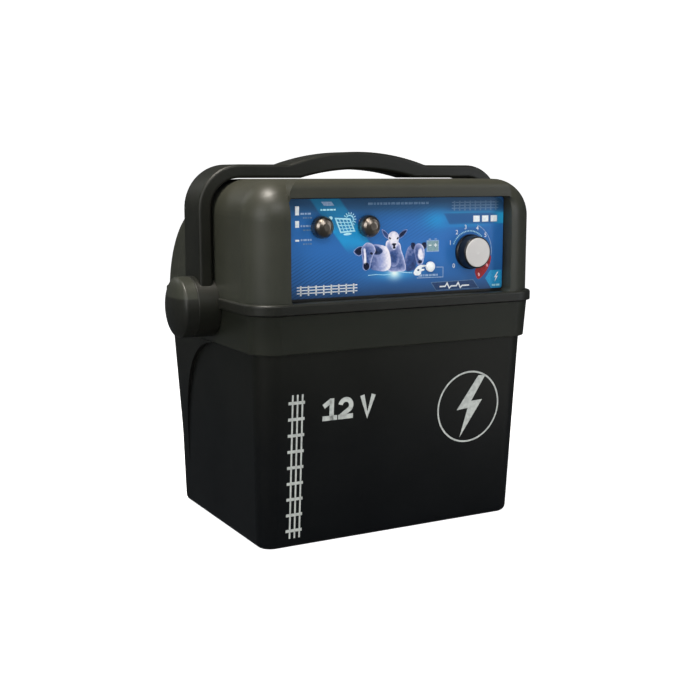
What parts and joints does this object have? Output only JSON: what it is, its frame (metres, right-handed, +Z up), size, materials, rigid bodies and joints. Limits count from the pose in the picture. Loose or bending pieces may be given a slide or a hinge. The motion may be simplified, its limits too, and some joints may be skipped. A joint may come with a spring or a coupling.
{
  "type": "fence energizer",
  "caption": "Battery electric fence energizer: lift-off lid with control panel, power dial and terminals over a battery tub, with a swinging carrying handle.",
  "frame": {"origin": "centre of the tub on the floor, midway between its side walls and midway between the front and back of its rim", "axes": "+X to the right seen from the control panel, +Y to the back, +Z up; the control panel faces -Y"},
  "size_m": [0.361, 0.2321, 0.3436],
  "materials": {
    "tub_plastic": "fine moulded texture",
    "lid_plastic": "satin moulded",
    "handle_plastic": "satin moulded, ribbed grip",
    "inner_plastic": "matt",
    "seal_rubber": "matt",
    "battery_plastic": "matt",
    "battery_cover_plastic": "satin",
    "lead_metal": "dull",
    "zinc_steel": "zinc plated",
    "red_plastic": "gloss",
    "green_plastic": "gloss",
    "black_plastic": "gloss",
    "red_wire": "PVC",
    "black_wire": "PVC",
    "label_print": "printed film",
    "board_laminate": "solder mask",
    "chip_epoxy": "matt",
    "core_steel": "laminated",
    "coil_tape": "wound tape",
    "can_sleeve": "shrink sleeve",
    "aluminium": "extruded",
    "brass": "turned",
    "led_lens": "clear green",
    "dial_plastic": "ribbed",
    "dial_face_plastic": "satin",
    "button_plastic": "gloss",
    "nut_metal": "dark nickel",
    "bush_plastic": "acetal"
  },
  "bodies": {
    "tub": {"battery_tub": "tub_plastic", "rim_gasket": "seal_rubber", "battery_case": "battery_plastic", "battery_cover": "battery_cover_plastic", "battery_vent_plugs": "battery_plastic", "battery_posts": "lead_metal", "negative_clip_jaws": "zinc_steel", "positive_clip_jaws": "zinc_steel", "negative_clip_grips": "black_plastic", "positive_clip_grips": "red_plastic", "negative_lead": "black_wire", "positive_lead": "red_wire", "battery_plug": "black_plastic"},
    "lid": {"battery_socket": "inner_plastic", "board_chips": "chip_epoxy", "board_screws": "zinc_steel", "circuit_board": "board_laminate", "control_body": "zinc_steel", "control_nut": "brass", "earth_stud": "zinc_steel", "earth_wire": "black_wire", "fence_stud": "zinc_steel", "fence_wire": "red_wire", "front_panel": "inner_plastic", "heat_sink": "aluminium", "lid_base": "inner_plastic", "lid_base_screws": "zinc_steel", "lid_shell": "lid_plastic", "panel_label": "label_print", "panel_screws": "zinc_steel", "pivot_screws": "zinc_steel", "pivot_studs": "zinc_steel", "pivot_washers": "zinc_steel", "power_transistors": "chip_epoxy", "solar_negative_stud": "zinc_steel", "solar_positive_stud": "zinc_steel", "status_led": "led_lens", "storage_capacitors": "can_sleeve", "test_switch": "chip_epoxy", "transformer_coil": "coil_tape", "transformer_core": "core_steel"},
    "handle": {"handle_bail": "handle_plastic", "handle_bushes": "bush_plastic", "pivot_cap_left": "lid_plastic", "pivot_cap_right": "lid_plastic"},
    "dial": {"control_shaft": "aluminium", "dial_knob": "dial_plastic", "dial_face": "dial_face_plastic"},
    "button": {"button_cap": "button_plastic"},
    "solar_negative_clamp": {"solar_negative_washer": "zinc_steel"},
    "solar_negative_turn": {"solar_negative_nut": "nut_metal"},
    "solar_positive_clamp": {"solar_positive_washer": "zinc_steel"},
    "solar_positive_turn": {"solar_positive_nut": "nut_metal"},
    "fence_clamp": {"fence_washer": "zinc_steel"},
    "fence_turn": {"fence_knob": "red_plastic"},
    "earth_clamp": {"earth_washer": "zinc_steel"},
    "earth_turn": {"earth_knob": "green_plastic"}
  },
  "joints": [
    {"name": "lid_lift", "type": "slide", "parent": "tub", "child": "lid", "axis": [0, 0, 1], "range_m": [0, 0.12]},
    {"name": "handle_swing", "type": "hinge", "parent": "lid", "child": "handle", "pos_m": [0, -0.011, 0.207], "axis": [-1, 0, 0], "range_deg": [0, 42]},
    {"name": "power_dial", "type": "hinge", "parent": "lid", "child": "dial", "pos_m": [0.0739, -0.102, 0.2536], "axis": [0, 1, 0], "range_deg": [0, 270]},
    {"name": "test_button", "type": "slide", "parent": "lid", "child": "button", "axis": [0, 1, 0], "range_m": [0, 0.0008], "stiffness_N_per_m": 300, "springref_m": -0.0005},
    {"name": "solar_negative_clamp_travel", "type": "slide", "parent": "lid", "child": "solar_negative_clamp", "axis": [0, -1, 0], "range_m": [0, 0.0024]},
    {"name": "solar_negative_nut_turn", "type": "hinge", "parent": "solar_negative_clamp", "child": "solar_negative_turn", "pos_m": [-0.078, -0.102, 0.279], "axis": [0, -1, 0], "range_deg": [0, 1082]},
    {"name": "solar_positive_clamp_travel", "type": "slide", "parent": "lid", "child": "solar_positive_clamp", "axis": [0, -1, 0], "range_m": [0, 0.0024]},
    {"name": "solar_positive_nut_turn", "type": "hinge", "parent": "solar_positive_clamp", "child": "solar_positive_turn", "pos_m": [-0.033, -0.102, 0.279], "axis": [0, -1, 0], "range_deg": [0, 1082]},
    {"name": "fence_clamp_travel", "type": "slide", "parent": "lid", "child": "fence_clamp", "axis": [0, 1, 0], "range_m": [0, 0.003]},
    {"name": "fence_nut_turn", "type": "hinge", "parent": "fence_clamp", "child": "fence_turn", "pos_m": [-0.03, 0.07, 0.241], "axis": [0, 1, 0], "range_deg": [0, 1082]},
    {"name": "earth_clamp_travel", "type": "slide", "parent": "lid", "child": "earth_clamp", "axis": [0, 1, 0], "range_m": [0, 0.003]},
    {"name": "earth_nut_turn", "type": "hinge", "parent": "earth_clamp", "child": "earth_turn", "pos_m": [0.03, 0.07, 0.241], "axis": [0, 1, 0], "range_deg": [0, 1082]}
  ],
  "couplings": [
    {"joint": "solar_negative_nut_turn", "follows": "solar_negative_clamp_travel", "rad_per_m": 7854},
    {"joint": "solar_positive_nut_turn", "follows": "solar_positive_clamp_travel", "rad_per_m": 7854},
    {"joint": "fence_nut_turn", "follows": "fence_clamp_travel", "rad_per_m": 6283.2},
    {"joint": "earth_nut_turn", "follows": "earth_clamp_travel", "rad_per_m": 6283.2}
  ]
}
